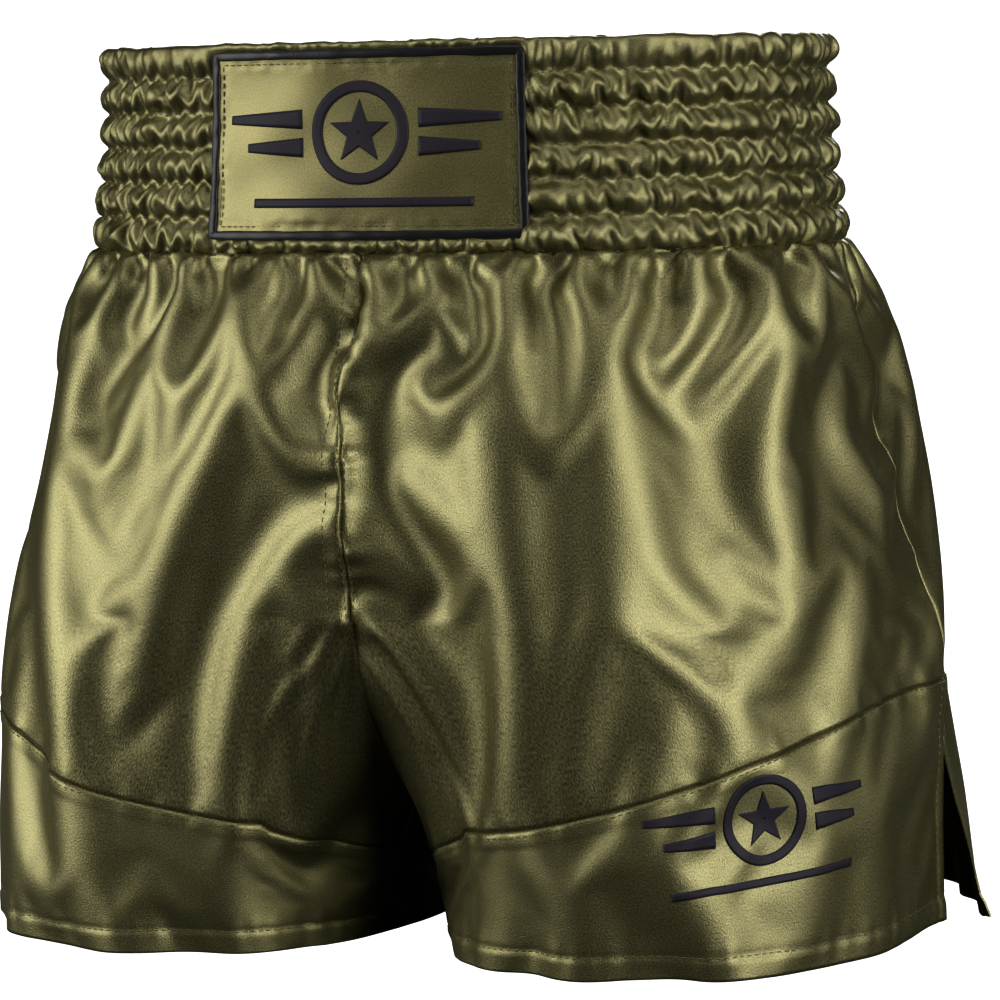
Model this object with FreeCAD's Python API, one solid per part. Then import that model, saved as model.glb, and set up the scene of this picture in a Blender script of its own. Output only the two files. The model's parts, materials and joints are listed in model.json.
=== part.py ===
"""Boxing shorts (Muay Thai cut), size M: satin legs on a six-channel elastic waistband.

Millimetres, +Z up. The wearer faces -Y and +X is the wearer's left. The origin is on the
floor plane of the hems, under the middle of the shorts. Every cloth panel is a thin shell
between two lofts, cut apart along its real seams.
"""
import FreeCAD
import Part
import math
import os

Vec = FreeCAD.Vector

# Whole garment
HEIGHT = 356.0            # hem to the top of the waistband
CROTCH = 45.0             # height of the lowest point of the centre seam
SIDE_SEAM_Y = 14.0        # the side seams sit a little behind the middle
ROUNDNESS = 2.2           # exponent of the super-elliptic sections; 2 is an ellipse
SECTION_POINTS = 24       # interpolation points round one section

# Cloth
CLOTH = 1.6               # satin panel with its folds and seam allowance
LINING = 1.0
BODY_GAP = 0.6            # clear gap between pieces that move apart

# Waistband
WAISTBAND = 82.0          # height of the gathered waistband
CHANNELS = 6              # sewn channels, one elastic in each
WAIST_HALF_WIDTH = 150.0
WAIST_HALF_DEPTH = 101.0
BAND_FOOT_HALF_WIDTH = 156.0
BAND_FOOT_HALF_DEPTH = 106.0
ELASTIC_THICKNESS = 1.2
ELASTIC_WIDTH = 10.0
CHANNEL_ROOM = 2.2        # hollow between the outer cloth and the lining

# Front patch
PATCH_WIDTH = 132.0
PATCH_HEIGHT = 73.0
PATCH_TOP_MARGIN = 4.0    # below the top edge of the waistband
PATCH_THICKNESS = 1.6
BINDING_WIDTH = 3.6
BINDING_THICKNESS = 2.4

# Lower bands, slits and flaps
BAND_SEAM_INNER = 48.0    # height of the band seam between the legs
BAND_SEAM_SIDE = 98.0     # and at the side seam, where it meets the slit
SLIT_TOP = 98.0
SLIT_HALF_GAP_TOP = 4.0
SLIT_HALF_GAP_HEM = 7.0
FLAP_HEM_REACH = 72.0     # from the slit to the fold line, along the hem

# Gusset and label
GUSSET_HALF_WIDTH = 26.0
GUSSET_HALF_LENGTH = 62.0
LABEL_SIZE = (32.0, 0.6, 38.0)
LABEL_DROP = 6.0          # below the top of the lining

SEAM_HEIGHT = HEIGHT - WAISTBAND    # where the legs are gathered into the waistband
FAR = 400.0                         # larger than the shorts in every direction

# Heights of the leg sections: outer half width, how far the section reaches across the
# middle (positive stops short of it), front depth and back depth
LEG_STATIONS = [
    (0.0, 196.0, 8.0, 130.0, 128.0),
    (24.0, 196.0, 5.0, 131.0, 129.0),
    (CROTCH, 195.5, 0.0, 131.5, 130.0),
    (80.0, 194.0, -25.0, 132.0, 131.0),
    (120.0, 192.0, -72.0, 132.0, 132.0),
    (165.0, 189.0, -140.0, 130.0, 132.0),
    (205.0, 183.0, -183.0, 125.0, 128.0),
    (240.0, 172.0, -172.0, 117.0, 119.0),
    (SEAM_HEIGHT, 158.0, -158.0, 108.0, 108.0),
]


def signed_power(value, exponent):
    return math.copysign(abs(value) ** exponent, value)


def section(z, outer_x, inner_x, front, back, inset):
    """A closed super-elliptic wire at height z, moved inwards by inset all round."""
    centre = (outer_x + inner_x) / 2.0
    half = (outer_x - inner_x) / 2.0 - inset
    points = []
    for k in range(SECTION_POINTS):
        angle = math.pi + 2.0 * math.pi * k / SECTION_POINTS
        depth = (back if math.sin(angle) > 0 else front) - inset
        x = centre + half * signed_power(math.cos(angle), 2.0 / ROUNDNESS)
        y = depth * signed_power(math.sin(angle), 2.0 / ROUNDNESS)
        points.append(Vec(x, y, z))
    knots = [k / SECTION_POINTS for k in range(SECTION_POINTS + 1)]
    curve = Part.BSplineCurve()
    curve.interpolate(Points=points, PeriodicFlag=True, Parameters=knots)
    return Part.Wire([curve.toShape()])


def loft(wires):
    return Part.makeLoft(wires, True, False)


def mirrored(shape):
    """The wearer's right-hand piece made from the left-hand one."""
    return shape.mirror(Vec(0, 0, 0), Vec(1, 0, 0))


def single(shape):
    """The one solid that a cut has left, without the compound it came in."""
    return shape.Solids[0] if len(shape.Solids) == 1 else shape


def block(low, high):
    size = [h - l for l, h in zip(low, high)]
    return Part.makeBox(size[0], size[1], size[2], Vec(*low))


def leg_volume(inset):
    """The space inside the wearer's left leg, from the hem to the waistband seam."""
    wires = [section(*station, inset) for station in LEG_STATIONS]
    return loft(wires)


def left_half_shell():
    """The cloth of the wearer's left half: a leg tube that opens across the middle."""
    left_side = block((0, -FAR, -FAR), (FAR, FAR, SEAM_HEIGHT - BODY_GAP))
    return leg_volume(0.0).common(left_side).cut(leg_volume(CLOTH))


def waistband_ring(inner_inset, outer_inset, low, high):
    """A ring of the waistband between two insets and two heights."""
    def volume(inset):
        wires = []
        for part_way in (0.0, 0.5, 1.0):
            z = SEAM_HEIGHT + WAISTBAND * part_way
            flare = (1.0 - part_way) ** 2
            width = WAIST_HALF_WIDTH + (BAND_FOOT_HALF_WIDTH - WAIST_HALF_WIDTH) * flare
            depth = WAIST_HALF_DEPTH + (BAND_FOOT_HALF_DEPTH - WAIST_HALF_DEPTH) * flare
            wires.append(section(z, width, -width, depth, depth, inset))
        return loft(wires)
    ring = volume(outer_inset).cut(volume(inner_inset))
    return ring.common(block((-FAR, -FAR, low), (FAR, FAR, high)))


def front_of(shape):
    return shape.common(block((-FAR, -FAR, -FAR), (FAR, -BODY_GAP / 2, FAR)))


def back_of(shape):
    return shape.common(block((-FAR, BODY_GAP / 2, -FAR), (FAR, FAR, FAR)))


def waistband_parts():
    """Outer cloth, lining and one elastic per channel, outside to inside."""
    parts = {}
    lining_inset = CLOTH + CHANNEL_ROOM
    outer = waistband_ring(CLOTH, 0.0, SEAM_HEIGHT, HEIGHT)
    lining = waistband_ring(lining_inset + LINING, lining_inset, SEAM_HEIGHT, HEIGHT)
    parts["waistband_outer_front"] = front_of(outer)
    parts["waistband_outer_back"] = back_of(outer)
    parts["waistband_lining_front"] = front_of(lining)
    parts["waistband_lining_back"] = back_of(lining)
    pitch = WAISTBAND / CHANNELS
    slack = (CHANNEL_ROOM - ELASTIC_THICKNESS) / 2.0
    elastic_inset = CLOTH + slack
    for channel in range(CHANNELS):
        middle = HEIGHT - pitch * (channel + 0.5)
        name = "elastic_band_%d" % (channel + 1)
        parts[name] = waistband_ring(
            elastic_inset + ELASTIC_THICKNESS, elastic_inset,
            middle - ELASTIC_WIDTH / 2.0, middle + ELASTIC_WIDTH / 2.0)
    return parts


def patch_parts():
    """The patch sewn on the front of the waistband, and the binding round its edge."""
    top = HEIGHT - PATCH_TOP_MARGIN
    low = top - PATCH_HEIGHT
    half = PATCH_WIDTH / 2.0
    whole = block((-half, -FAR, low), (half, 0, top))
    inside = block((-half + BINDING_WIDTH, -FAR, low + BINDING_WIDTH),
                   (half - BINDING_WIDTH, 0, top - BINDING_WIDTH))
    frame = whole.cut(inside)
    on_cloth = -0.1
    panel = waistband_ring(on_cloth, on_cloth - PATCH_THICKNESS, SEAM_HEIGHT, HEIGHT)
    edge = waistband_ring(on_cloth, on_cloth - BINDING_THICKNESS, SEAM_HEIGHT, HEIGHT)
    return {"patch_panel": panel.common(inside), "patch_binding": edge.common(frame)}


def label_part():
    """A blank care label hanging from the top of the lining at the centre back."""
    width, thickness, drop = LABEL_SIZE
    inner_face = WAIST_HALF_DEPTH - CLOTH - CHANNEL_ROOM - LINING
    high = HEIGHT - LABEL_DROP
    near = inner_face - 1.4 - thickness
    return block((-width / 2, near, high - drop), (width / 2, near + thickness, high))


def below_band_seam():
    """Everything under the seam that joins the lower bands to the leg panels."""
    side = LEG_STATIONS[0][1]
    seam = Part.Arc(Vec(-side, -FAR, BAND_SEAM_SIDE), Vec(0, -FAR, BAND_SEAM_INNER),
                    Vec(side, -FAR, BAND_SEAM_SIDE))
    corners = [Vec(side, -FAR, BAND_SEAM_SIDE), Vec(FAR, -FAR, BAND_SEAM_SIDE),
               Vec(FAR, -FAR, -FAR), Vec(-FAR, -FAR, -FAR),
               Vec(-FAR, -FAR, BAND_SEAM_SIDE), Vec(-side, -FAR, BAND_SEAM_SIDE)]
    edges = [seam.toShape()]
    for start, end in zip(corners, corners[1:]):
        edges.append(Part.LineSegment(start, end).toShape())
    return Part.Face(Part.Wire(edges)).extrude(Vec(0, 2 * FAR, 0))


def slit_wedge():
    """The open slit on the left side seam, a narrow wedge that widens to the hem."""
    outline = [Vec(FAR / 4, SIDE_SEAM_Y - SLIT_HALF_GAP_TOP, SLIT_TOP),
               Vec(FAR / 4, SIDE_SEAM_Y + SLIT_HALF_GAP_TOP, SLIT_TOP),
               Vec(FAR / 4, SIDE_SEAM_Y + SLIT_HALF_GAP_HEM, -1.0),
               Vec(FAR / 4, SIDE_SEAM_Y - SLIT_HALF_GAP_HEM, -1.0)]
    return Part.Face(Part.makePolygon(outline + outline[:1])).extrude(Vec(FAR, 0, 0))


def fold_side(direction, gap):
    """The region on the slit's side of a flap's fold line.

    direction is -1 for the front flap and +1 for the back flap. The fold line runs from
    the top of the slit to the hem, and the region is pushed away from it by gap.
    """
    top = SLIT_TOP + 2.0
    reach = SIDE_SEAM_Y + direction * (FLAP_HEM_REACH - gap)
    start = SIDE_SEAM_Y - direction * gap
    x = FAR / 4
    outline = [Vec(x, start, top), Vec(x, reach, 0.0), Vec(x, reach, -10.0),
               Vec(x, SIDE_SEAM_Y - direction * FAR, -10.0),
               Vec(x, SIDE_SEAM_Y - direction * FAR, top)]
    return Part.Face(Part.makePolygon(outline + outline[:1])).extrude(Vec(FAR, 0, 0))


def gusset_column():
    """An upright elliptic column through the crotch that outlines the gusset."""
    ellipse = Part.Ellipse(Vec(0, 0, -10.0), GUSSET_HALF_LENGTH, GUSSET_HALF_WIDTH)
    wire = Part.Wire([ellipse.toShape()])
    wire.rotate(Vec(0, 0, -10.0), Vec(0, 0, 1), 90.0)
    return Part.Face(wire).extrude(Vec(0, 0, SEAM_HEIGHT))


def leg_parts():
    """Leg panels, lower bands and slit flaps of both legs, and the gusset between them."""
    shell = left_half_shell()
    column = gusset_column()
    half_gusset = shell.common(column)
    cloth = shell.cut(column)
    under_seam = below_band_seam()
    upper = cloth.cut(under_seam)
    lower = cloth.common(under_seam).cut(slit_wedge())
    ahead = block((-FAR, -FAR, -FAR), (FAR, SIDE_SEAM_Y, FAR))
    left = {"front_panel": upper.common(ahead), "back_panel": upper.cut(ahead)}
    halves = {"front": (single(lower.common(ahead)), -1),
              "back": (single(lower.cut(ahead)), 1)}
    for side, (band, direction) in halves.items():
        left[side + "_flap"] = band.common(fold_side(direction, BODY_GAP))
        left[side + "_band"] = band.cut(fold_side(direction, 0.0))
    parts = {"crotch_gusset": half_gusset.fuse(mirrored(half_gusset))}
    for name, shape in left.items():
        parts[name + "_left"] = shape
        parts[name + "_right"] = mirrored(shape)
    return parts


def main():
    os.makedirs("parts", exist_ok=True)
    parts = {}
    parts.update(waistband_parts())
    parts.update(patch_parts())
    parts["care_label"] = label_part()
    parts.update(leg_parts())
    for name, shape in parts.items():
        shape = shape.removeSplitter()
        solids = shape.Solids
        print("%-24s solids %d  valid %s  volume %.0f" % (
            name, len(solids), shape.isValid(), shape.Volume))
        single(shape).exportStep("parts/%s.step" % name)


main()
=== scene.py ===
"""Looks of the boxing shorts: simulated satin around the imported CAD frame."""
import bpy
import json
import math
import numpy as np
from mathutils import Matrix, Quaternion, Vector

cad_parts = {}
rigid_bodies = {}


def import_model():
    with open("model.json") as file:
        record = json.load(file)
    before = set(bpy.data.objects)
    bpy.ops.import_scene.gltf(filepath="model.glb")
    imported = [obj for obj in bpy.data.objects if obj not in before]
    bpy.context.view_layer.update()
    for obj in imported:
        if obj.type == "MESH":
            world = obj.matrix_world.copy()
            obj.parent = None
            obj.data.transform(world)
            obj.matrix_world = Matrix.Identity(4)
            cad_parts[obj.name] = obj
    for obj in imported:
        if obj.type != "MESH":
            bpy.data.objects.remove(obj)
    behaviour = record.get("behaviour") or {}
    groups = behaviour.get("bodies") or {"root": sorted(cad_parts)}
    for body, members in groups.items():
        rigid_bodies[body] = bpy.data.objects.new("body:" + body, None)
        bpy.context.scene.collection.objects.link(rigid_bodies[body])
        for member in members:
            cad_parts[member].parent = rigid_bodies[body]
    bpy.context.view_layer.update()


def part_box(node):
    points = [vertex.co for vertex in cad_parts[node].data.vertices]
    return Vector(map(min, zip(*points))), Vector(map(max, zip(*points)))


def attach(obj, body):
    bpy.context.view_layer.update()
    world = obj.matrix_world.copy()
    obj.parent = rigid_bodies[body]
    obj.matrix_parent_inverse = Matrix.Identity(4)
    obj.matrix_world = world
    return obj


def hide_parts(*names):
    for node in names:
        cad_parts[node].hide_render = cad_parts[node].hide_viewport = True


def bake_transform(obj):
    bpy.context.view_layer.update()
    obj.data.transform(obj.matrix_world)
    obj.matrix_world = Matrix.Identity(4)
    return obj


for leftover in list(bpy.data.objects):
    bpy.data.objects.remove(leftover)
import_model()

# ---------------------------------------------------------------- driving dimensions (metres)
MM = 0.001
BAND_LOW, BAND_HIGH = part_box("waistband_outer_front")
HEIGHT = BAND_HIGH[2]                        # hem to the top of the waistband
SEAM_Z = BAND_LOW[2]                         # where the legs are gathered in
WAISTBAND = HEIGHT - SEAM_Z
CHANNELS = 6
PITCH = WAISTBAND / CHANNELS
CROTCH = 45 * MM
SIDE_SEAM_Y = 14 * MM
ROUNDNESS = 2.2
WAIST_HALF, WAIST_DEPTH = 150, 101           # half the waistband's width and depth, in mm
FLARE_HALF, FLARE_DEPTH = 6, 5               # how much more at its lower edge
BAND_SEAM_INNER = 48 * MM
BAND_SEAM_SIDE = 98 * MM
HEM = 9 * MM                                 # depth of the folded hem
FACING = 6 * MM                              # folded edge of the slits
FINE = 2                                     # visible vertices per simulated cell

# height, outer half width, reach across the middle, front depth, back depth
LEG_STATIONS = np.array([
    (0, 196, 8, 130, 128),
    (24, 196, 5, 131, 129),
    (45, 195.5, 0, 131.5, 130),
    (80, 194, -25, 132, 131),
    (120, 192, -72, 132, 132),
    (165, 189, -140, 130, 132),
    (205, 183, -183, 125, 128),
    (240, 172, -172, 117, 119),
    (274, 158, -158, 108, 108),
]) * MM

rng = np.random.default_rng(11)


# ---------------------------------------------------------------- shape of the garment
def signed_power(value, exponent):
    return np.sign(value) * np.abs(value) ** exponent


def station(z):
    """Outer reach, inner reach, front depth and back depth at height z (smoothly joined)."""
    heights = LEG_STATIONS[:, 0]
    slopes = np.gradient(LEG_STATIONS[:, 1:], heights, axis=0)
    z = np.clip(np.asarray(z, float), heights[0], heights[-1])
    k = np.clip(np.searchsorted(heights, z, side="right") - 1, 0, len(heights) - 2)
    step = heights[k + 1] - heights[k]
    t = ((z - heights[k]) / step)[..., None]
    low, high = LEG_STATIONS[k, 1:], LEG_STATIONS[k + 1, 1:]
    rise_low, rise_high = slopes[k] * step[..., None], slopes[k + 1] * step[..., None]
    return (low * (2 * t**3 - 3 * t**2 + 1) + high * (3 * t**2 - 2 * t**3)
            + rise_low * (t**3 - 2 * t**2 + t) + rise_high * (t**3 - t**2))


def leg_point(z, phi, inset=0.0):
    """A point of the left leg's section at height z; phi 0 is the outer side, +90 the back."""
    s = station(z)
    outer, inner, front, back = s[..., 0], s[..., 1], s[..., 2], s[..., 3]
    centre = (outer + inner) / 2
    half = (outer - inner) / 2 - inset
    depth = np.where(np.sin(phi) > 0, back, front) - inset
    x = centre + half * signed_power(np.cos(phi), 2 / ROUNDNESS)
    y = depth * signed_power(np.sin(phi), 2 / ROUNDNESS)
    return np.stack([x, y, np.broadcast_to(z, x.shape)], -1)


def middle_angle(z):
    """The angle at which the section at height z meets the middle plane x = 0."""
    s = station(z)
    centre = (s[..., 0] + s[..., 1]) / 2
    half = (s[..., 0] - s[..., 1]) / 2
    ratio = np.clip(centre / half, 0, 1) ** (ROUNDNESS / 2)
    return math.pi - np.arccos(ratio)


def side_angle(z):
    """The angle at which the section meets the side seam."""
    back = station(z)[..., 3]
    return np.arcsin((SIDE_SEAM_Y / back) ** (ROUNDNESS / 2))


def band_seam_height(x):
    """Height of the seam over the lower band: a circular arc across the front."""
    half = LEG_STATIONS[0, 1]
    rise = BAND_SEAM_SIDE - BAND_SEAM_INNER
    radius = (half**2 + rise**2) / (2 * rise)
    reach = np.minimum(np.abs(x), half)
    return BAND_SEAM_INNER + radius - np.sqrt(radius**2 - reach**2)


def distances(points):
    """Distance walked along a polyline, from its first point."""
    steps = np.linalg.norm(np.diff(points, axis=0), axis=1)
    return np.concatenate([[0], np.cumsum(steps)])


def values_at(wanted, travel, values):
    """Vectors interpolated at the wanted distances along a polyline."""
    return np.stack([np.interp(wanted, travel, values[:, k]) for k in range(3)], 1)


def spread(points, count):
    """Resamples a polyline to count + 1 evenly spaced points."""
    travel = distances(points)
    return values_at(np.linspace(0, travel[-1], count + 1), travel, points)


def smooth_noise(shape, cut_rows, cut_cols):
    """Seeded noise of unit deviation, periodic, with only the lower frequencies kept."""
    field = np.fft.fft2(rng.standard_normal(shape))
    rows = np.fft.fftfreq(shape[0]) * shape[0]
    cols = np.fft.fftfreq(shape[1]) * shape[1]
    field *= np.exp(-(rows[:, None] / cut_rows) ** 2 - (cols[None, :] / cut_cols) ** 2)
    wave = np.real(np.fft.ifft2(field))
    return wave / wave.std()


# ---------------------------------------------------------------- cloth solver
def colour_links(first, second, count):
    """Colours the links so that no vertex appears twice in one colour."""
    used = [0] * count
    colour = np.empty(len(first), int)
    for k, (a, b) in enumerate(zip(first.tolist(), second.tolist())):
        free = ~(used[a] | used[b])
        bit = free & -free
        used[a] |= bit
        used[b] |= bit
        colour[k] = bit.bit_length() - 1
    return colour


class Cloth:
    """Position-based cloth: every link is a distance with its own rest length."""

    def __init__(self, points, held):
        self.points = points.copy()
        self.speed = np.zeros_like(points)
        self.mobile = np.where(held, 0.0, 1.0)
        self.links = []

    def link(self, first, second, rest, give):
        """Adds links; give is the compliance, 0 for cloth that doesn't stretch."""
        colour = colour_links(first, second, len(self.points))
        for c in range(colour.max() + 1):
            pick = colour == c
            i, j = first[pick], second[pick]
            wi, wj = self.mobile[i], self.mobile[j]
            weight = wi + wj + give
            ok = wi + wj > 0
            self.links.append((i[ok], j[ok], rest[pick][ok], wi[ok, None], wj[ok, None],
                               weight[ok]))

    def run(self, steps, step_time, pull, drag, limit):
        """Steps the cloth; pull(points) is its acceleration, limit(points) keeps it out."""
        for _ in range(steps):
            before = self.points.copy()
            self.speed += pull(self.points) * step_time
            self.speed *= (1 - drag) * self.mobile[:, None]
            self.points += self.speed * step_time
            for i, j, rest, wi, wj, weight in self.links:
                apart = self.points[i] - self.points[j]
                length = np.sqrt(np.einsum("ij,ij->i", apart, apart)) + 1e-12
                apart *= ((length - rest) / (length * weight))[:, None]
                self.points[i] -= apart * wi
                self.points[j] += apart * wj
            limit(self.points)
            self.speed = (self.points - before) / step_time
        return self.points


def link_grid(cloth, ids, ease_across, ease_down, bend, closed, shear, strides=(2,)):
    """Links a grid of vertex ids: threads both ways, both diagonals, and bending.

    The rest lengths are those of the start, eased apart across and down the cloth.
    strides are how many cells each kind of bending link spans.
    """
    start = cloth.points
    cols = ids.shape[1]
    if closed:
        ids = np.hstack([ids, ids[:, :max(strides)]])
        ease_across = np.hstack([ease_across, ease_across[:, :max(strides)]])
        ease_down = np.hstack([ease_down, ease_down[:, :max(strides)]])
        cols = cols + 1
    near, far = ids[:, :cols - 1], ids[:, 1:cols]
    all_wide = np.linalg.norm(start[ids[:, 1:]] - start[ids[:, :-1]], axis=-1)
    all_wide = all_wide * ease_across[:, :-1]
    tall = np.linalg.norm(start[ids[1:]] - start[ids[:-1]], axis=-1) * ease_down[:-1]
    cloth.link(near.ravel(), far.ravel(), all_wide[:, :cols - 1].ravel(), 0.0)
    keep = cols - 1 if closed else cols
    cloth.link(ids[:-1, :keep].ravel(), ids[1:, :keep].ravel(), tall[:, :keep].ravel(), 0.0)
    over = (start[far[:-1]] - start[near[:-1]]) * ease_across[:-1, :cols - 1, None]
    down = (start[near[1:]] - start[near[:-1]]) * ease_down[:-1, :cols - 1, None]
    cloth.link(near[:-1].ravel(), far[1:].ravel(),
               np.linalg.norm(over + down, axis=-1).ravel(), shear)
    cloth.link(far[:-1].ravel(), near[1:].ravel(),
               np.linalg.norm(over - down, axis=-1).ravel(), shear)
    across = np.hstack([np.zeros((len(ids), 1)), np.cumsum(all_wide, axis=1)])
    down = np.vstack([np.zeros((1, ids.shape[1])), np.cumsum(tall, axis=0)])
    for stride in strides:
        last = cols - 1 if closed else cols - stride
        reach = across[:, stride:stride + last] - across[:, :last]
        cloth.link(ids[:, :last].ravel(), ids[:, stride:stride + last].ravel(),
                   reach.ravel(), bend)
        drop = down[stride:, :keep] - down[:-stride, :keep]
        cloth.link(ids[:-stride, :keep].ravel(), ids[stride:, :keep].ravel(),
                   drop.ravel(), bend)


# ---------------------------------------------------------------- waistband
BAND_COLS = 600
ROWS_PER_CHANNEL = 8
TURN_ROWS = 5                                # rows that fold over the top edge


def waist_outline(z, inset):
    """Even points round the waistband at height z, and their outward directions."""
    part_way = (z - SEAM_Z) / WAISTBAND
    flare = max(0.0, 1 - part_way) ** 2
    half = (WAIST_HALF + FLARE_HALF * flare) * MM - inset
    depth = (WAIST_DEPTH + FLARE_DEPTH * flare) * MM - inset
    t = np.linspace(-math.pi / 2, 1.5 * math.pi, 8001)
    dense = np.stack([half * signed_power(np.cos(t), 2 / ROUNDNESS),
                      depth * signed_power(np.sin(t), 2 / ROUNDNESS),
                      np.full_like(t, z)], 1)
    points = spread(dense, BAND_COLS)[:-1]
    along = np.roll(points, -1, axis=0) - np.roll(points, 1, axis=0)
    out = np.stack([along[:, 1], -along[:, 0], np.zeros(BAND_COLS)], 1)
    out /= np.linalg.norm(out, axis=1)[:, None]
    return points, out


EASE_WIDE, EASE_TALL, BEND, SHEAR, PUFF = 1.2, 1.03, 0.6, 0.8, 7.0
TOP_EASE = 1.12                              # the top channel is gathered less
STITCH_INSET = 1.2 * MM                      # the stitch lines sit behind the bulges
INNER_LIMIT = 1.8                            # mm: the outer cloth is kept outside this inset
TURN_DROP, TURN_INSET = 1.6 * MM, 1.9 * MM   # how fast the turned edge goes down and in
WAIST_STEPS = 240


def simulate_waistband():
    """The outer cloth of the waistband, gathered on its stitch lines."""
    count = CHANNELS * ROWS_PER_CHANNEL + 1
    rows = []
    held = []
    for r in range(count):
        z = SEAM_Z + WAISTBAND * r / (count - 1)
        sewn = r % ROWS_PER_CHANNEL == 0
        points, out = waist_outline(z, STITCH_INSET)
        ripple = smooth_noise((1, BAND_COLS), 1, 80)[0] * (0.5 if sewn else 0.7) * MM
        points = points + out * (ripple + (0 if sewn else 0.8 * MM))[:, None]
        if sewn:
            fineness = 60 if r == count - 1 else 130
            points[:, 2] += smooth_noise((1, BAND_COLS), 1, fineness)[0] * 0.38 * MM
        rows.append(points)
        held.append(np.full(BAND_COLS, sewn))
    edge_height = rows[-1][:, 2] - HEIGHT
    for r in range(1, TURN_ROWS + 1):
        z = HEIGHT - TURN_DROP * r
        points, out = waist_outline(z, STITCH_INSET + min(r, 2) * TURN_INSET)
        points[:, 2] += edge_height
        rows.append(points)
        held.append(np.full(BAND_COLS, True))
    start = np.array(rows)
    start[..., 2] -= 0.6 * MM
    shape = start.shape[:2]
    ids = np.arange(shape[0] * shape[1]).reshape(shape)
    cloth = Cloth(start.reshape(-1, 3), np.array(held).ravel())
    ease = EASE_WIDE + 0.07 * smooth_noise(shape, 6, 14)
    top = ids // BAND_COLS > (CHANNELS - 1) * ROWS_PER_CHANNEL
    ease[top] += TOP_EASE - EASE_WIDE
    link_grid(cloth, ids, ease, np.full(shape, EASE_TALL), BEND, True, SHEAR)
    outward = cloth.points * [1, 1.6, 0]
    outward /= np.linalg.norm(outward, axis=1)[:, None] + 1e-9
    outer_rows = (np.arange(len(cloth.points)) // BAND_COLS) < count

    def pull(points):
        return outward * PUFF

    def limit(points):
        flare = (1 - np.clip((points[:, 2] - SEAM_Z) / WAISTBAND, 0, 1)) ** 2
        x = points[:, 0] / ((WAIST_HALF + FLARE_HALF * flare - INNER_LIMIT) * MM)
        y = points[:, 1] / ((WAIST_DEPTH + FLARE_DEPTH * flare - INNER_LIMIT) * MM)
        level = (np.abs(x)**ROUNDNESS + np.abs(y)**ROUNDNESS) ** (1 / ROUNDNESS)
        inside = (level < 1) & (cloth.mobile > 0) & outer_rows
        points[inside, 0] /= level[inside]
        points[inside, 1] /= level[inside]

    cloth.run(WAIST_STEPS, 1 / 400, pull, 0.06, limit)
    return cloth.points.reshape(shape + (3,))


# ---------------------------------------------------------------- legs
FRONT_COLS, BACK_COLS = 96, 96     # columns from the front seam to the side, side to the back
CHAIN_COLS = 76                    # columns round the crotch between the legs
BODY_ROWS = 50                     # rows from the waistband to where the legs part
UPPER_ROWS, LOWER_ROWS = 14, 30    # leg rows above and below the band seam
PART_Z = 130 * MM                  # height where the rows of the two legs part
HEM_FRONT_ANGLE = math.radians(126)
SLIT_BACK_FLARE = 15 * MM          # how far the slit's back corner stands out
SLIT_FRONT_TUCK = 3 * MM           # how far its front corner turns in
SLIT_HALF_GAP = 4 * MM
SLIT_COLS = 30                     # columns beside the slit that it moves


def outer_arc(z_of, phi_front, phi_back):
    """Points from the front seam past the side seam to the back, on the leg's surface."""
    def arc(start, end, count):
        phi = np.linspace(start, end, 400)
        z = np.full_like(phi, z_of(np.full(1, 0.15))[0])
        for _ in range(3):
            z = z_of(leg_point(z, phi)[:, 0])
        return spread(leg_point(z, phi), count)
    side = float(side_angle(float(z_of(np.full(1, 0.195))[0])))
    ahead = arc(-phi_front, side, FRONT_COLS)
    behind = arc(side, phi_back, BACK_COLS)
    return np.vstack([ahead, behind[1:]])


def crotch_chain():
    """Heights and angles along the centre seam, from the back, underneath, to the front."""
    z = CROTCH + (PART_Z - CROTCH) * np.linspace(1, 0, 400) ** 2
    phi = middle_angle(z)
    phi[-1] = math.pi
    back = leg_point(z, phi)
    front = leg_point(z, -phi)
    path = np.vstack([back, front[::-1][1:]])
    heights = np.concatenate([z, z[::-1][1:]])
    angles = np.concatenate([phi, 2 * math.pi - phi[::-1][1:]])
    path[:, 0] = 0
    travel = distances(path)
    wanted = np.linspace(0, travel[-1], CHAIN_COLS + 1)[1:-1]
    return np.interp(wanted, travel, heights), np.interp(wanted, travel, angles)


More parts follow.
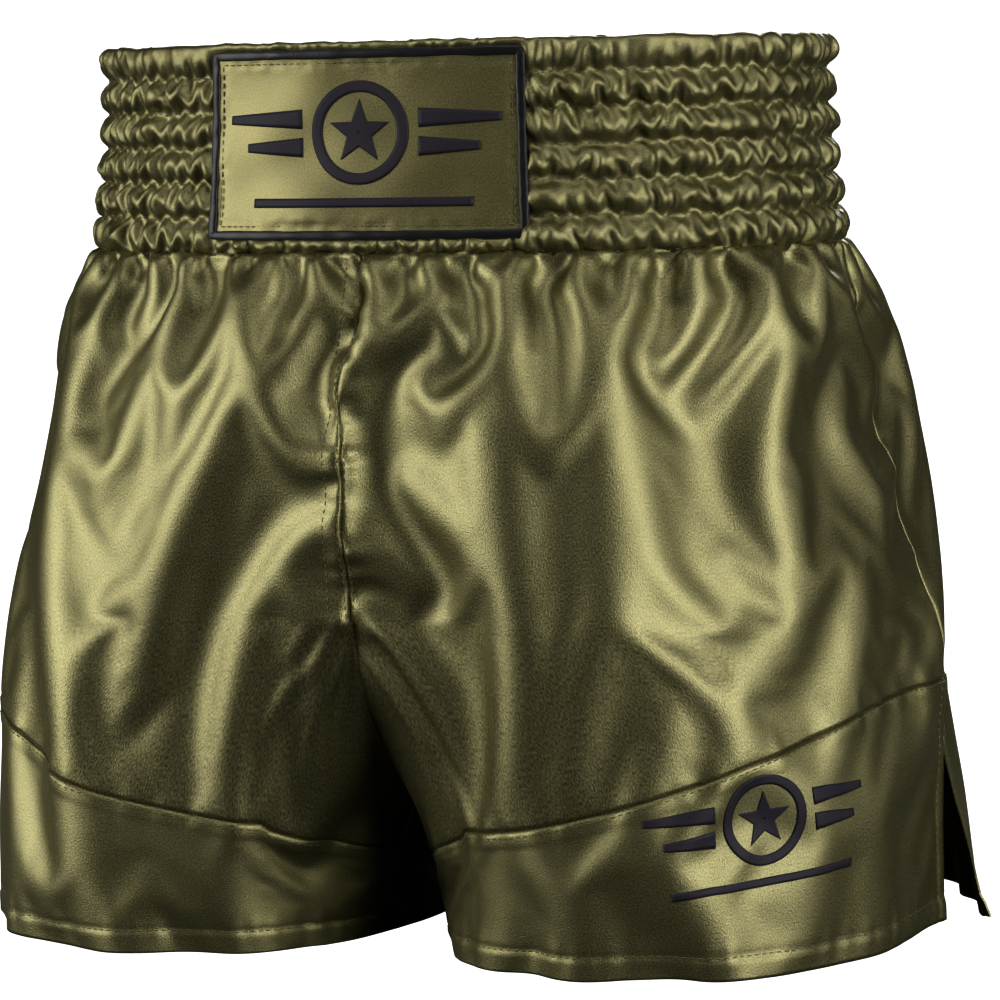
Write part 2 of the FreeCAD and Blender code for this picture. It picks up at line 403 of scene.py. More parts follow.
def left_half():
    """The wearer's left half: body rows (front to back) and leg rows (closed rings)."""
    body = []
    for r in range(BODY_ROWS + 1):
        z = SEAM_Z + (PART_Z - SEAM_Z) * r / BODY_ROWS
        angle = float(middle_angle(z))
        row = outer_arc(lambda x, z=z: np.full(x.shape, z), angle, angle)
        row[0, 0] = row[-1, 0] = 0
        body.append(row)
    chain_z, chain_phi = crotch_chain()
    part_angle = float(middle_angle(PART_Z))
    hem_phi = np.linspace(HEM_FRONT_ANGLE, 2 * math.pi - HEM_FRONT_ANGLE, CHAIN_COLS + 1)[1:-1]
    depth = (chain_z - CROTCH) / (PART_Z - CROTCH)
    chain_seam = 26 * MM + (BAND_SEAM_INNER - 26 * MM) * np.sqrt(depth)
    legs = []
    for r in range(UPPER_ROWS + LOWER_ROWS + 1):
        if r <= UPPER_ROWS:
            t = r / UPPER_ROWS
            z_of = lambda x, t=t: PART_Z * (1 - t) + band_seam_height(x) * t
            z = chain_z * (1 - t) + chain_seam * t
        else:
            t = (r - UPPER_ROWS) / LOWER_ROWS
            z_of = lambda x, t=t: band_seam_height(x) * (1 - t)
            z = chain_seam * (1 - t)
        fall = 1 - float(z_of(np.zeros(1))[0]) / PART_Z
        edge = part_angle + (HEM_FRONT_ANGLE - part_angle) * fall
        outer = outer_arc(z_of, edge, edge)
        fall_in = 1 - z / chain_z
        phi = chain_phi + (hem_phi - chain_phi) * fall_in
        inner = leg_point(z, phi)
        inner[:, 0] = np.maximum(inner[:, 0], 0 if r == 0 else 0.5 * MM)
        if r == 0:
            inner[:, 0] = 0
            outer = body[-1]
        legs.append(np.vstack([outer, inner]))
    return np.array(body), np.array(legs)


def number_grids(steps):
    """Vertex ids of the body and leg grids of both sides, at steps vertices per cell.

    A body grid runs from the front seam round the side to the back seam. A leg grid runs
    from the slit's back edge, round the back and the crotch, to the slit's front edge;
    above the band seam both its edges are one column, the side seam.
    """
    front, back, chain = FRONT_COLS * steps, BACK_COLS * steps, CHAIN_COLS * steps
    upper = UPPER_ROWS * steps
    body_shape = (BODY_ROWS * steps + 1, front + back + 1)
    leg_shape = ((UPPER_ROWS + LOWER_ROWS) * steps + 1, back + chain + front + 1)
    body = np.arange(body_shape[0] * body_shape[1]).reshape(body_shape)
    leg = body.size + np.arange(leg_shape[0] * leg_shape[1]).reshape(leg_shape)
    leg[0, :back + 1] = body[-1, front:]
    leg[0, back + chain:] = body[-1, :front + 1]
    leg[:upper + 1, -1] = leg[:upper + 1, 0]
    total = body.size + leg.size
    right_body, right_leg = body + total, leg + total
    right_body[:, [0, -1]] = body[:, [0, -1]]
    right_leg[0, back:back + chain + 1] = leg[0, back:back + chain + 1]
    sizes = np.cumsum([body.size, leg.size, body.size])
    every = np.concatenate([g.ravel() for g in (body, leg, right_body, right_leg)])
    packed = np.split(np.unique(every, return_inverse=True)[1], sizes)
    left = packed[0].reshape(body_shape), packed[1].reshape(leg_shape)
    right = packed[2].reshape(body_shape), packed[3].reshape(leg_shape)
    return {"left": left, "right": right}, int(max(p.max() for p in packed)) + 1


def slimming(z):
    """How much narrower than the lofted shape the cloth starts, before its folds fill it."""
    heights = np.array([0, 50, 100, 150, 215, 250, 274]) * MM
    return np.interp(z, heights, [1, 1, 0.985, 0.96, 0.95, 0.96, 0.978])


def build_legs():
    """Vertices and id grids of both halves, joined along the centre seam."""
    body, legs = left_half()
    ring = legs.shape[1]
    legs = legs[:, np.r_[FRONT_COLS:ring, 0:FRONT_COLS + 1]]
    body[..., 0] *= slimming(body[..., 2])
    legs[..., 0] *= slimming(legs[..., 2])
    body[0] *= [1, 0.975, 1]
    grids, count = number_grids(1)
    points = np.zeros((count, 3))
    for side, sign in (("right", -1), ("left", 1)):
        body_ids, leg_ids = grids[side]
        points[leg_ids] = legs * [sign, 1, 1]
        points[body_ids] = body * [sign, 1, 1]
        shape_slit(points, leg_ids, sign)
    return points, grids


def shape_slit(points, leg_ids, sign):
    """Opens the slit to a narrow wedge and lets its back corner stand out."""
    rows = leg_ids[UPPER_ROWS + 1:]
    drop = np.clip(1 - points[rows][..., 2] / BAND_SEAM_SIDE, 0, 1)
    count = rows.shape[1]
    near = np.zeros_like(drop)
    for edge, turn in ((range(0, SLIT_COLS), 1), (range(count - SLIT_COLS, count), -1)):
        for c in edge:
            away = min(c, count - 1 - c) / SLIT_COLS
            near[:, c] = turn * (1 - away) ** 1.5
    back, front = np.clip(near, 0, 1), np.clip(-near, 0, 1)
    moved = points[rows]
    moved[..., 0] += sign * (SLIT_BACK_FLARE * back - SLIT_FRONT_TUCK * front) * drop
    moved[..., 1] += SLIT_HALF_GAP * near * drop
    points[rows] = moved


def height_ease(z):
    """How much wider the cloth is than the shape it hangs on, at height z."""
    heights = np.array([0, 60, 110, 160, 200, 235, 274]) * MM
    ease = np.array([1.045, 1.045, 1.05, 1.06, 1.075, 1.11, 1.23])
    return np.interp(z, heights, ease)


# Folds of the cloth as it is worn: side of the body (-1 front, 1 back), then x and height
# where the fold starts and ends, its half width and how far it stands out (millimetres).
# All were chosen for the first render; fold_size() then changes the last two.
FOLDS = [
    (-1, -38, 276, -96, 190, 13, -9), (-1, -66, 276, -128, 170, 14, 8),
    (-1, -96, 190, -120, 110, 20, -9), (-1, -12, 262, -70, 130, 17, 9),
    (-1, -30, 215, -84, 110, 12, -8), (-1, -70, 130, -92, 60, 20, 8),
    (-1, -8, 125, -66, 60, 15, -8), (-1, -14, 105, -40, 30, 14, 8),
    (-1, 28, 276, 17, 205, 9, -9), (-1, 46, 276, 40, 200, 16, 8),
    (-1, 68, 276, 92, 190, 13, -10), (-1, 92, 190, 80, 130, 17, -9),
    (-1, 80, 130, 50, 105, 15, -7), (-1, 112, 270, 128, 150, 22, 8),
    (-1, 14, 130, 44, 92, 12, 8), (-1, 12, 105, 34, 60, 10, -7),
    (-1, 8, 85, 24, 40, 10, 8), (-1, 150, 250, 176, 190, 14, 7),
    (-1, -150, 240, -168, 150, 16, -7), (-1, 60, 118, 84, 100, 16, 7),
    (1, 30, 276, 60, 190, 15, -8), (1, 60, 190, 80, 110, 18, -7),
    (1, -24, 276, -70, 170, 15, -9), (1, -52, 276, -110, 150, 17, 8),
    (1, 84, 276, 120, 150, 17, 8), (1, 10, 150, 70, 90, 14, 8),
    (1, -10, 130, -60, 70, 14, -8), (1, 110, 270, 150, 180, 14, -8),
    (1, -120, 270, -150, 150, 16, -7), (1, -90, 120, -120, 50, 18, 7),
]

# What a fold's half width and stand were multiplied by after each of three renders
FOLD_CHANGES = [(0.8, 1.45), (1.45, 0.8), (0.85, 1.5)]
NARROWEST_FOLD = 8


def fold_size(width, stand):
    """Half width and stand of a fold, kept in whole millimetres after every change."""
    for wider, higher in FOLD_CHANGES:
        width = max(NARROWEST_FOLD, round(width * wider))
        stand = round(stand * higher)
    return width, stand



def fold_height(points):
    """How far the worn folds push each point of the cloth outwards."""
    height = np.zeros(len(points))
    for side, x0, z0, x1, z1, width, stand in FOLDS:
        width, stand = fold_size(width, stand)
        start = np.array([x0, z0]) * MM
        along = np.array([x1, z1]) * MM - start
        rel = points[:, [0, 2]] - start
        t = rel @ along / (along @ along)
        off = np.linalg.norm(rel - np.clip(t, 0, 1)[:, None] * along, axis=1)
        taper = np.interp(t, [-0.25, 0.1, 0.75, 1.2], [0.3, 1, 1, 0])
        same = np.clip(side * points[:, 1] / (30 * MM), 0, 1)
        height += same * taper * stand * MM * np.exp(-(off / (width * MM)) ** 2)
    return height


def body_limit(points, side, inset_of):
    """Pushes points out of the wearer's body and keeps each leg on its own side."""
    z = points[:, 2]
    s = station(z)
    inset = inset_of(z)
    narrow = slimming(z)
    centre = narrow * (s[:, 0] + s[:, 1]) / 2
    half = narrow * (s[:, 0] - s[:, 1]) / 2 - inset
    depth = np.where(points[:, 1] > 0, s[:, 3], s[:, 2]) - inset
    sign = np.where(side == 0, np.sign(points[:, 0]), side)
    reach = (np.abs(points[:, 0]) - centre) / half
    ahead = points[:, 1] / depth
    level = np.abs(reach) ** ROUNDNESS + np.abs(ahead) ** ROUNDNESS
    slope_x = signed_power(reach, ROUNDNESS - 1) / half
    slope_y = signed_power(ahead, ROUNDNESS - 1) / depth
    slope_x = np.where((np.abs(points[:, 0]) < 12 * MM) & (z > CROTCH), 0, slope_x)
    size = (slope_x**2 + slope_y**2) * ROUNDNESS + 1e-9
    push = np.where((level < 1) & (level > 0.5) & (z > -5 * MM), (1 - level) / size, 0)
    points[:, 0] += sign * push * slope_x
    points[:, 1] += push * slope_y
    own = side != 0
    points[own, 0] = side[own] * np.maximum(side[own] * points[own, 0], 0.4 * MM)


LEG_TALL, LEG_BEND, LEG_SHEAR, LEG_STEPS = 1.01, 0.06, 0.8, 240
LEG_STRIDES = (2, 3)
LEG_AXIS_X = 0.075                           # the folds push outwards from this line


def simulate_legs():
    """Both legs and the seat: folds sewn in at the waist, hanging down to the hems."""
    points, grids = build_legs()
    held = np.zeros(len(points), bool)
    for body, leg in grids.values():
        held[body[0]] = True
    side = np.sign(points[:, 0])
    side[points[:, 2] > CROTCH + 12 * MM] = 0
    side[np.abs(points[:, 0]) < 1e-9] = 0
    centre = np.stack([np.sign(points[:, 0]) * LEG_AXIS_X, points[:, 1] * 0, points[:, 2]], 1)
    centre[points[:, 0] == 0, 0] = 0
    out = (points - centre) * [1, 1, 0]
    out /= np.linalg.norm(out, axis=1)[:, None] + 1e-9
    wavy = points + out * fold_height(points)[:, None]
    for body, leg in grids.values():
        shape = body.shape
        wave = smooth_noise(shape, 1.0, 9) * 1.6
        wave *= np.sin(np.linspace(0, math.pi, shape[1])) ** 0.3
        fine = smooth_noise(shape, 6, 42) * np.linspace(1, 0, shape[0])[:, None] ** 6
        wavy[body] += out[body] * ((wave + 0.9 * fine) * MM)[..., None]
        tall = leg.shape
        wave = smooth_noise(tall, 1.1, 8) * 1.6
        wave *= np.sin(np.linspace(0, math.pi, tall[1]))[None, :] ** 0.2
        wave[0] = 0
        wavy[leg] += out[leg] * (wave * MM)[..., None]
    wavy[held] = points[held]
    cloth = Cloth(points, held)
    for body, leg in grids.values():
        z = points[body][..., 2]
        link_grid(cloth, body, height_ease(z), np.full(z.shape, LEG_TALL), LEG_BEND, False,
                  LEG_SHEAR, LEG_STRIDES)
        z = points[leg][..., 2]
        ease = height_ease(z)
        ease[:, BACK_COLS:-FRONT_COLS] = 1.01
        link_grid(cloth, leg, ease, np.full(z.shape, LEG_TALL), LEG_BEND, False, LEG_SHEAR,
                  LEG_STRIDES)
    cloth.points = wavy
    weight = np.array([0, 0, -0.5])

    def inset_of(z):
        return np.interp(z, np.array([0, 60, 130, 200, 274]) * MM,
                         np.array([16, 13, 11, 9, 4]) * MM)

    cloth.run(LEG_STEPS, 1 / 1000, lambda p: weight, 0.03,
              lambda p: body_limit(p, side, inset_of))
    return cloth.points, grids


# ---------------------------------------------------------------- visible resolution
def padded_grid(core, above=None, below=None, before=None, after=None):
    """The grid with one more row or column on each side; None continues it straight."""
    rows, cols = core.shape[:2]
    big = np.empty((rows + 2, cols + 2, 3))
    big[1:-1, 1:-1] = core
    big[0, 1:-1] = 2 * core[0] - core[1] if above is None else above
    big[-1, 1:-1] = 2 * core[-1] - core[-2] if below is None else below
    big[1:-1, 0] = 2 * core[:, 0] - core[:, 1] if before is None else before
    big[1:-1, -1] = 2 * core[:, -1] - core[:, -2] if after is None else after
    for r, inner in ((0, 1), (-1, -2)):
        for c, near in ((0, 1), (-1, -2)):
            big[r, c] = big[r, near] + big[inner, c] - big[inner, near]
    return big


def doubled(grid):
    """The cubic B-spline surface of a padded grid, at its knots and halfway between."""
    for axis in (0, 1):
        grid = np.swapaxes(grid, 0, axis)
        fine = np.empty((2 * len(grid) - 5,) + grid.shape[1:])
        fine[::2] = (grid[:-2] + 4 * grid[1:-1] + grid[2:]) / 6
        fine[1::2] = (grid[:-3] + 23 * grid[1:-2] + 23 * grid[2:-1] + grid[3:]) / 48
        grid = np.swapaxes(fine, 0, axis)
    return grid


def fine_legs(points, grids):
    """The legs at the visible resolution, smooth across every seam."""
    fine_ids, count = number_grids(FINE)
    fine = np.zeros((count, 3))
    chain_end = BACK_COLS + CHAIN_COLS
    for side, other in (("right", "left"), ("left", "right")):
        body, leg = (points[ids] for ids in grids[side])
        other_body, other_leg = (points[ids] for ids in grids[other])
        above = np.empty_like(leg[0])
        above[:BACK_COLS + 1] = body[-2, FRONT_COLS:]
        above[chain_end:] = body[-2, :FRONT_COLS + 1]
        above[BACK_COLS + 1:chain_end] = other_leg[1, BACK_COLS + 1:chain_end]
        before = 2 * leg[:, 0] - leg[:, 1]
        after = 2 * leg[:, -1] - leg[:, -2]
        before[:UPPER_ROWS + 1] = leg[:UPPER_ROWS + 1, -2]
        after[:UPPER_ROWS + 1] = leg[:UPPER_ROWS + 1, 1]
        below = np.concatenate([leg[1, chain_end:], leg[1, 1:BACK_COLS + 1]])
        body_ids, leg_ids = fine_ids[side]
        fine[leg_ids] = doubled(padded_grid(leg, above, None, before, after))
        fine[body_ids] = doubled(padded_grid(body, None, below, other_body[:, 1],
                                             other_body[:, -2]))
    return fine, fine_ids


def quads_of(grid):
    """The quads of a grid of ids (or of anything else per vertex)."""
    corners = [grid[:-1, :-1], grid[:-1, 1:], grid[1:, 1:], grid[1:, :-1]]
    stacked = np.stack(corners, 2)
    return stacked.reshape((-1, 4) + grid.shape[2:])


def vertex_normals(points, faces):
    across = points[faces[:, 2]] - points[faces[:, 0]]
    down = points[faces[:, 3]] - points[faces[:, 1]]
    face_normals = np.cross(across, down)
    normals = np.zeros_like(points)
    for corner in range(4):
        for axis in range(3):
            normals[:, axis] += np.bincount(faces[:, corner], face_normals[:, axis],
                                            len(points))
    return normals / (np.linalg.norm(normals, axis=1)[:, None] + 1e-12)


def travel_along(points, ids, axis):
    """Distance walked along the rows or columns of a grid, from its first one."""
    steps = np.linalg.norm(np.diff(points[ids], axis=axis), axis=-1)
    start = np.zeros_like(np.take(steps, [0], axis=axis))
    return np.concatenate([start, np.cumsum(steps, axis=axis)], axis=axis)


def bump(distance, width):
    return np.exp(-(distance / width) ** 2)


def plateau(distance, width, soft=1.2 * MM):
    """1 within width of an edge, falling to 0 beyond it."""
    return 1 / (1 + np.exp((distance - width) / (soft / 3)))


def seam_relief(points, ids):
    """Outward height of seams, hems and puckers on the fine legs, per vertex."""
    lift = np.zeros(len(points))
    for side in ("left", "right"):
        body, leg = ids[side]
        upper = UPPER_ROWS * FINE
        # centre seams, front and back: a groove, puckers, a felled strip on the right
        walked = travel_along(points, body, 1)
        height = np.zeros(body.shape)
        for off in (walked, walked[:, -1:] - walked):
            pucker = smooth_noise((len(body), 1), 18, 1)
            height -= 0.7 * MM * bump(off, 1.3 * MM)
            height += 0.55 * MM * pucker * bump(off, 9 * MM) * (1 - bump(off, 2 * MM))
            if side == "right":
                height += 0.55 * MM * plateau(off, 8 * MM)
                height -= 0.3 * MM * bump(off - 7 * MM, 1.2 * MM)
        # small gathers under the waistband
        below = travel_along(points, body, 0)
        gathers = smooth_noise(body.shape, 5, 46)
        height += 0.6 * MM * gathers * bump(below - 7 * MM, 8 * MM)
        # the side seam
        middle = FRONT_COLS * FINE
        off = np.abs(walked - walked[:, middle:middle + 1])
        pucker = smooth_noise((len(body), 1), 14, 1)
        height -= 0.2 * MM * bump(off, 1.6 * MM)
        height += 0.2 * MM * pucker * bump(off, 6 * MM)
        lift[body] += height
        # leg rows: the band seam, the hem and the slit's facings
        walked = travel_along(points, leg, 0)
        off = walked - walked[upper:upper + 1]
        height = -0.35 * MM * bump(off, 1.3 * MM)
        height += 0.3 * MM * plateau(off, 6 * MM) * (off > 0)
        pucker = smooth_noise((1, leg.shape[1]), 1, 60)
        height += 0.35 * MM * pucker * bump(off, 7 * MM)
        to_hem = walked[-1:] - walked
        pucker = smooth_noise((1, leg.shape[1]), 1, 75)
        height += 0.5 * MM * plateau(to_hem, HEM) - 0.4 * MM * bump(to_hem - HEM, 1.3 * MM)
        height += 0.3 * MM * pucker * bump(to_hem - HEM, 6 * MM)
        around = travel_along(points, leg, 1)
        for off in (around, around[:, -1:] - around):
            pucker = smooth_noise((len(leg), 1), 7, 1)
            edge = 0.6 * MM * plateau(off, FACING) - 0.45 * MM * bump(off - FACING, 1.2 * MM)
            edge = edge + 0.3 * MM * pucker * bump(off - FACING, 5 * MM)
            height += edge * below_seam(leg.shape, upper)
            side_seam = 0.2 * MM * pucker * bump(off, 6 * MM) - 0.2 * MM * bump(off, 1.6 * MM)
            height += side_seam * (1 - below_seam(leg.shape, upper))
        height[0] = 0
        lift[leg] += height
    return lift


def below_seam(shape, upper):
    """1 on the leg rows of the slit, easing in under the band seam."""
    rows = np.arange(shape[0])[:, None]
    return np.clip((rows - upper) / 6, 0, 1) * np.ones(shape)


# ---------------------------------------------------------------- meshes
def new_object(name, points, faces, material, uv=None, smooth=True):
    mesh = bpy.data.meshes.new(name)
    mesh.from_pydata(points.tolist(), [], [tuple(f) for f in faces])
    mesh.polygons.foreach_set("use_smooth", np.broadcast_to(smooth, len(mesh.polygons)))
    mesh.materials.append(material)
    if uv is not None:
        layer = mesh.uv_layers.new(name="cloth")
        layer.data.foreach_set("uv", np.asarray(uv, np.float32).ravel())
    obj = bpy.data.objects.new(name, mesh)
    bpy.context.collection.objects.link(obj)
    return obj


def cloth_piece(name, points, normals, blocks, thickness, material, flip=False):
    """A piece of cloth from blocks of ids: outer face, inner face and closed rims.

    Each block is (ids, first row, first column); the last two place it on the weave.
    thickness 0 leaves it a single face.
    """
    faces, weave = [], []
    for ids, row, col in blocks:
        r, c = np.mgrid[0:ids.shape[0], 0:ids.shape[1]]
        place = np.stack([(c + col) * WEAVE_STEP, (r + row) * WEAVE_STEP], -1)
        faces.append(quads_of(ids))
        weave.append(quads_of(place))
    faces, weave = np.vstack(faces), np.vstack(weave)
    if flip:
        faces, weave = faces[:, ::-1], weave[:, ::-1]
    used, local = np.unique(faces, return_inverse=True)
    local = local.reshape(-1, 4)
    outer = points[used]
    if not thickness:
        return new_object(name, outer, local, material, weave)
    inner = outer - normals[used] * thickness
    count = len(used)
    edges = np.stack([local, np.roll(local, -1, axis=1)], -1).reshape(-1, 2)
    edge_uv = np.stack([weave, np.roll(weave, -1, axis=1)], 2).reshape(-1, 2, 2)
    keys = np.sort(edges, axis=1)
    keys = keys[:, 0] * count + keys[:, 1]
    _, first, tally = np.unique(keys, return_index=True, return_counts=True)
    rim = first[tally == 1]
    rim_faces = np.stack([edges[rim, 1], edges[rim, 0], edges[rim, 0] + count,
                          edges[rim, 1] + count], 1)
    rim_uv = edge_uv[rim][:, [1, 0, 0, 1]]
    every = np.vstack([local, local[:, ::-1] + count, rim_faces])
    uv = np.concatenate([weave, weave[:, ::-1], rim_uv])
    soft = np.arange(len(every)) < 2 * len(local)      # the rims keep sharp edges
    return new_object(name, np.vstack([outer, inner]), every, material, uv, soft)


WEAVE_STEP = 1.4 * MM


def sampled(grid, rows, cols):
    """Bilinear samples of a grid of vectors at fractional rows and columns."""
    rows = np.clip(rows, 0, grid.shape[0] - 1.001)
    cols = np.clip(cols, 0, grid.shape[1] - 1.001)
    r, c = rows.astype(int), cols.astype(int)
    fr, fc = (rows - r)[..., None], (cols - c)[..., None]
    return ((grid[r, c] * (1 - fc) + grid[r, c + 1] * fc) * (1 - fr)
            + (grid[r + 1, c] * (1 - fc) + grid[r + 1, c + 1] * fc) * fr)


STITCH_SIDES = 5


def stitching(name, lines, pitch, length, radius, material):
    """One mesh of short stitches laid along lines of (points, outward directions)."""
    rings = [(-0.5, 0.25, -0.6), (-0.3, 0.9, 0.15), (0.3, 0.9, 0.15), (0.5, 0.25, -0.6)]
    template = []
    for along, size, rise in rings:
        for k in range(STITCH_SIDES):
            turn = 2 * math.pi * k / STITCH_SIDES
            template.append((along * length, size * radius * math.cos(turn),
                             radius * (rise + size * math.sin(turn))))
    template = np.array(template)
    ring_faces = []
    for k in range(len(rings) - 1):
        for side in range(STITCH_SIDES):
            a, b = k * STITCH_SIDES + side, k * STITCH_SIDES + (side + 1) % STITCH_SIDES
            ring_faces.append((a, b, b + STITCH_SIDES, a + STITCH_SIDES))
    ends = [tuple(range(STITCH_SIDES))[::-1],
            tuple((len(rings) - 1) * STITCH_SIDES + k for k in range(STITCH_SIDES))]
    points, faces = [], []
    for line, outward in lines:
        travel = distances(line)
        count = int(travel[-1] / pitch)
        at = (np.arange(count) + 0.5) * travel[-1] / max(count, 1)
        centre = values_at(at, travel, line)
        up = values_at(at, travel, outward)
        along = (values_at(at + length / 2, travel, line)
                 - values_at(at - length / 2, travel, line))
        along /= np.linalg.norm(along, axis=1)[:, None] + 1e-12
        across = np.cross(up, along)
        across /= np.linalg.norm(across, axis=1)[:, None] + 1e-12
        up = np.cross(along, across)
        axes = np.stack([along, across, up], 1)
        placed = centre[:, None, :] + template @ axes
        base = sum(len(p) for p in points)
        points.append(placed.reshape(-1, 3))
        for k in range(count):
            shift = base + k * len(template)
            faces += [tuple(i + shift for i in f) for f in ring_faces + ends]
    points = np.vstack(points)
    around = points[[i for face in faces for i in face]]
    uv = np.stack([around[:, 0] + around[:, 1], around[:, 2]], 1)
    return new_object(name, points, faces, material, uv)


# ---------------------------------------------------------------- materials
def node(tree, kind, **inputs):
    made = tree.nodes.new(kind)
    for name, value in inputs.items():
        made.inputs[name.replace("_", " ")].default_value = value
    return made


def woven(name, colour, roughness, metallic, grain, coarse, sheen=0.0, weave=(2600, 1500),
          depth=0.05, worn=0.12):
    """A woven cloth: thread grain, uneven dye, slight wear, and a bump of the weave."""
    made = bpy.data.materials.new(name)
    made.use_nodes = True
    tree = made.node_tree
    shader = tree.nodes["Principled BSDF"]
    shader.inputs["Metallic"].default_value = metallic
    shader.inputs["Sheen Weight"].default_value = sheen
    uv = tree.nodes.new("ShaderNodeUVMap")
    uv.uv_map = "cloth"
    stretch = tree.nodes.new("ShaderNodeMapping")
    stretch.inputs["Scale"].default_value = (weave[0], weave[1], 1)
    tree.links.new(uv.outputs["UV"], stretch.inputs["Vector"])
    threads = node(tree, "ShaderNodeTexNoise", Scale=1.0, Detail=2.0, Roughness=0.6)
    tree.links.new(stretch.outputs["Vector"], threads.inputs["Vector"])
    dye = node(tree, "ShaderNodeTexNoise", Scale=28.0, Detail=3.0, Roughness=0.55)
    tree.links.new(uv.outputs["UV"], dye.inputs["Vector"])
    mixed = node(tree, "ShaderNodeMix")
    mixed.data_type = "RGBA"
    mixed.inputs["Factor"].default_value = 0.5
    shades = []
    for source, reach in ((threads, grain), (dye, worn)):
        ramp = tree.nodes.new("ShaderNodeValToRGB")
        low = [c * (1 - reach) for c in colour]
        high = [min(1.0, c * (1 + reach)) for c in colour]
        ramp.color_ramp.elements[0].position = 0.32
        ramp.color_ramp.elements[1].position = 0.68
        ramp.color_ramp.elements[0].color = (*low, 1)
        ramp.color_ramp.elements[1].color = (*high, 1)
        tree.links.new(source.outputs["Fac"], ramp.inputs["Fac"])
        shades.append(ramp)
    tree.links.new(shades[0].outputs["Color"], mixed.inputs["A"])
    tree.links.new(shades[1].outputs["Color"], mixed.inputs["B"])
    tree.links.new(mixed.outputs["Result"], shader.inputs["Base Color"])
    rough = tree.nodes.new("ShaderNodeMapRange")
    rough.inputs["To Min"].default_value = roughness - coarse
    rough.inputs["To Max"].default_value = roughness + coarse
    tree.links.new(threads.outputs["Fac"], rough.inputs["Value"])
    tree.links.new(rough.outputs["Result"], shader.inputs["Roughness"])
    relief = node(tree, "ShaderNodeBump", Strength=1.0, Distance=depth * MM)
    tree.links.new(threads.outputs["Fac"], relief.inputs["Height"])
    tree.links.new(relief.outputs["Normal"], shader.inputs["Normal"])
    return made


SATIN = woven("olive_satin", (0.25, 0.235, 0.125), 0.46, 0.9, 0.75, 0.12, depth=0.14,
              weave=(1700, 1250))
PATCH_SATIN = woven("patch_satin", (0.24, 0.22, 0.108), 0.46, 0.72, 0.5, 0.1, depth=0.08,
                    weave=(1700, 1250))
LINING_CLOTH = woven("lining_cloth", (0.15, 0.142, 0.07), 0.5, 0.25, 0.25, 0.06, depth=0.05)
WEBBING = woven("elastic_webbing", (0.74, 0.73, 0.69), 0.8, 0.0, 0.12, 0.05,
                weave=(900, 2400), depth=0.15)
BINDING = woven("black_binding", (0.012, 0.012, 0.012), 0.42, 0.0, 0.4, 0.08, sheen=0.15,
                weave=(1500, 1500), depth=0.08)
LABEL_TAPE = woven("label_tape", (0.78, 0.77, 0.74), 0.5, 0.0, 0.06, 0.05,
                   weave=(1800, 2600), depth=0.03)
PRINT = woven("charcoal_print", (0.026, 0.022, 0.031), 0.62, 0.0, 0.25, 0.08,
              weave=(1500, 1500), depth=0.04)
THREAD = woven("olive_thread", (0.15, 0.14, 0.066), 0.5, 0.1, 0.3, 0.08,
               weave=(3000, 3000), depth=0.03)


def follow_waist(obj):
    """Bakes a waistband piece's transform into its mesh."""
    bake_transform(obj)


def follow_seat(obj):
    """Bakes a panel's transform into its mesh."""
    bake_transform(obj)


FLAP_TOP = Vector((198, 14, 100)) * MM
FLAP_FOLDS = {
    "front": (Vector((192.5, -58, 0)) * MM, Vector((0.6, 0.81, -0.585))),
    "back": (Vector((182.5, 86, 0)) * MM, Vector((0.75, -0.81, -0.7))),
}
FOLD_WIDTH = 20 * MM


def follow_flap(obj, half, side):
    """Works out the fold line of a lower band between the slit and the hem, which is not used,
    and bakes the band's transform.
    """
    foot, across = FLAP_FOLDS[half]
    middle = (FLAP_TOP + foot) / 2
    across = across.normalized() * FOLD_WIDTH / 2
    ends = [middle - across, middle + across]
    if side == "right":
        ends = [Vector((-e.x, e.y, e.z)) for e in ends]
    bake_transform(obj)


# ---------------------------------------------------------------- waistband pieces
PATCH_HALF, PATCH_TALL, PATCH_MARGIN = 66 * MM, 73 * MM, 4 * MM


def press_under_patch(grid):
    """Flattens the ruched cloth where the patch is sewn over it."""
    flare = (1 - np.clip((grid[..., 2] - SEAM_Z) / WAISTBAND, 0, 1)) ** 2
    x = grid[..., 0] / ((WAIST_HALF + FLARE_HALF * flare) * MM)
    y = grid[..., 1] / ((WAIST_DEPTH + FLARE_DEPTH * flare) * MM)
    level = (np.abs(x)**ROUNDNESS + np.abs(y)**ROUNDNESS) ** (1 / ROUNDNESS)
    depth = HEIGHT - PATCH_MARGIN - grid[..., 2]
    inward = np.minimum(np.minimum(PATCH_HALF - np.abs(grid[..., 0]), depth),
                        PATCH_TALL - depth)
    under = np.clip(inward / (2.5 * MM) + 0.6, 0, 1) * (grid[..., 1] < 0)
    stop = 1 - 0.6 / 100
    scale = np.where(level > stop, stop / np.maximum(level, 1e-6), 1)
    scale = 1 + (scale - 1) * under
    outer = np.arange(len(grid))[:, None] <= CHANNELS * ROWS_PER_CHANNEL
    scale = np.where(outer, scale, 1)
    grid[..., 0] *= scale
    grid[..., 1] *= scale


def closed_fine(grid):
    """Twice as fine a surface from a grid whose columns close on themselves."""
    wide = np.hstack([grid, grid[:, :1]])
    return doubled(padded_grid(wide, None, None, grid[:, -1], grid[:, 1]))[:, :-1]


def band_ids(shape):
    ids = np.arange(shape[0] * shape[1]).reshape(shape)
    return np.hstack([ids, ids[:, :1]])


def halves_of(ids):
    """Front and back column ranges of a closed grid that starts at the front centre."""
    quarter = (ids.shape[1] - 1) // 4
    around = np.hstack([ids[:, 3 * quarter:-1], ids])
    return {"front": around[:, :2 * quarter + 1],
            "back": around[:, 2 * quarter:4 * quarter + 1]}


TUCK_IN = np.array([0.988, 0.982, 1])
TUCK_DOWN = 3 * MM


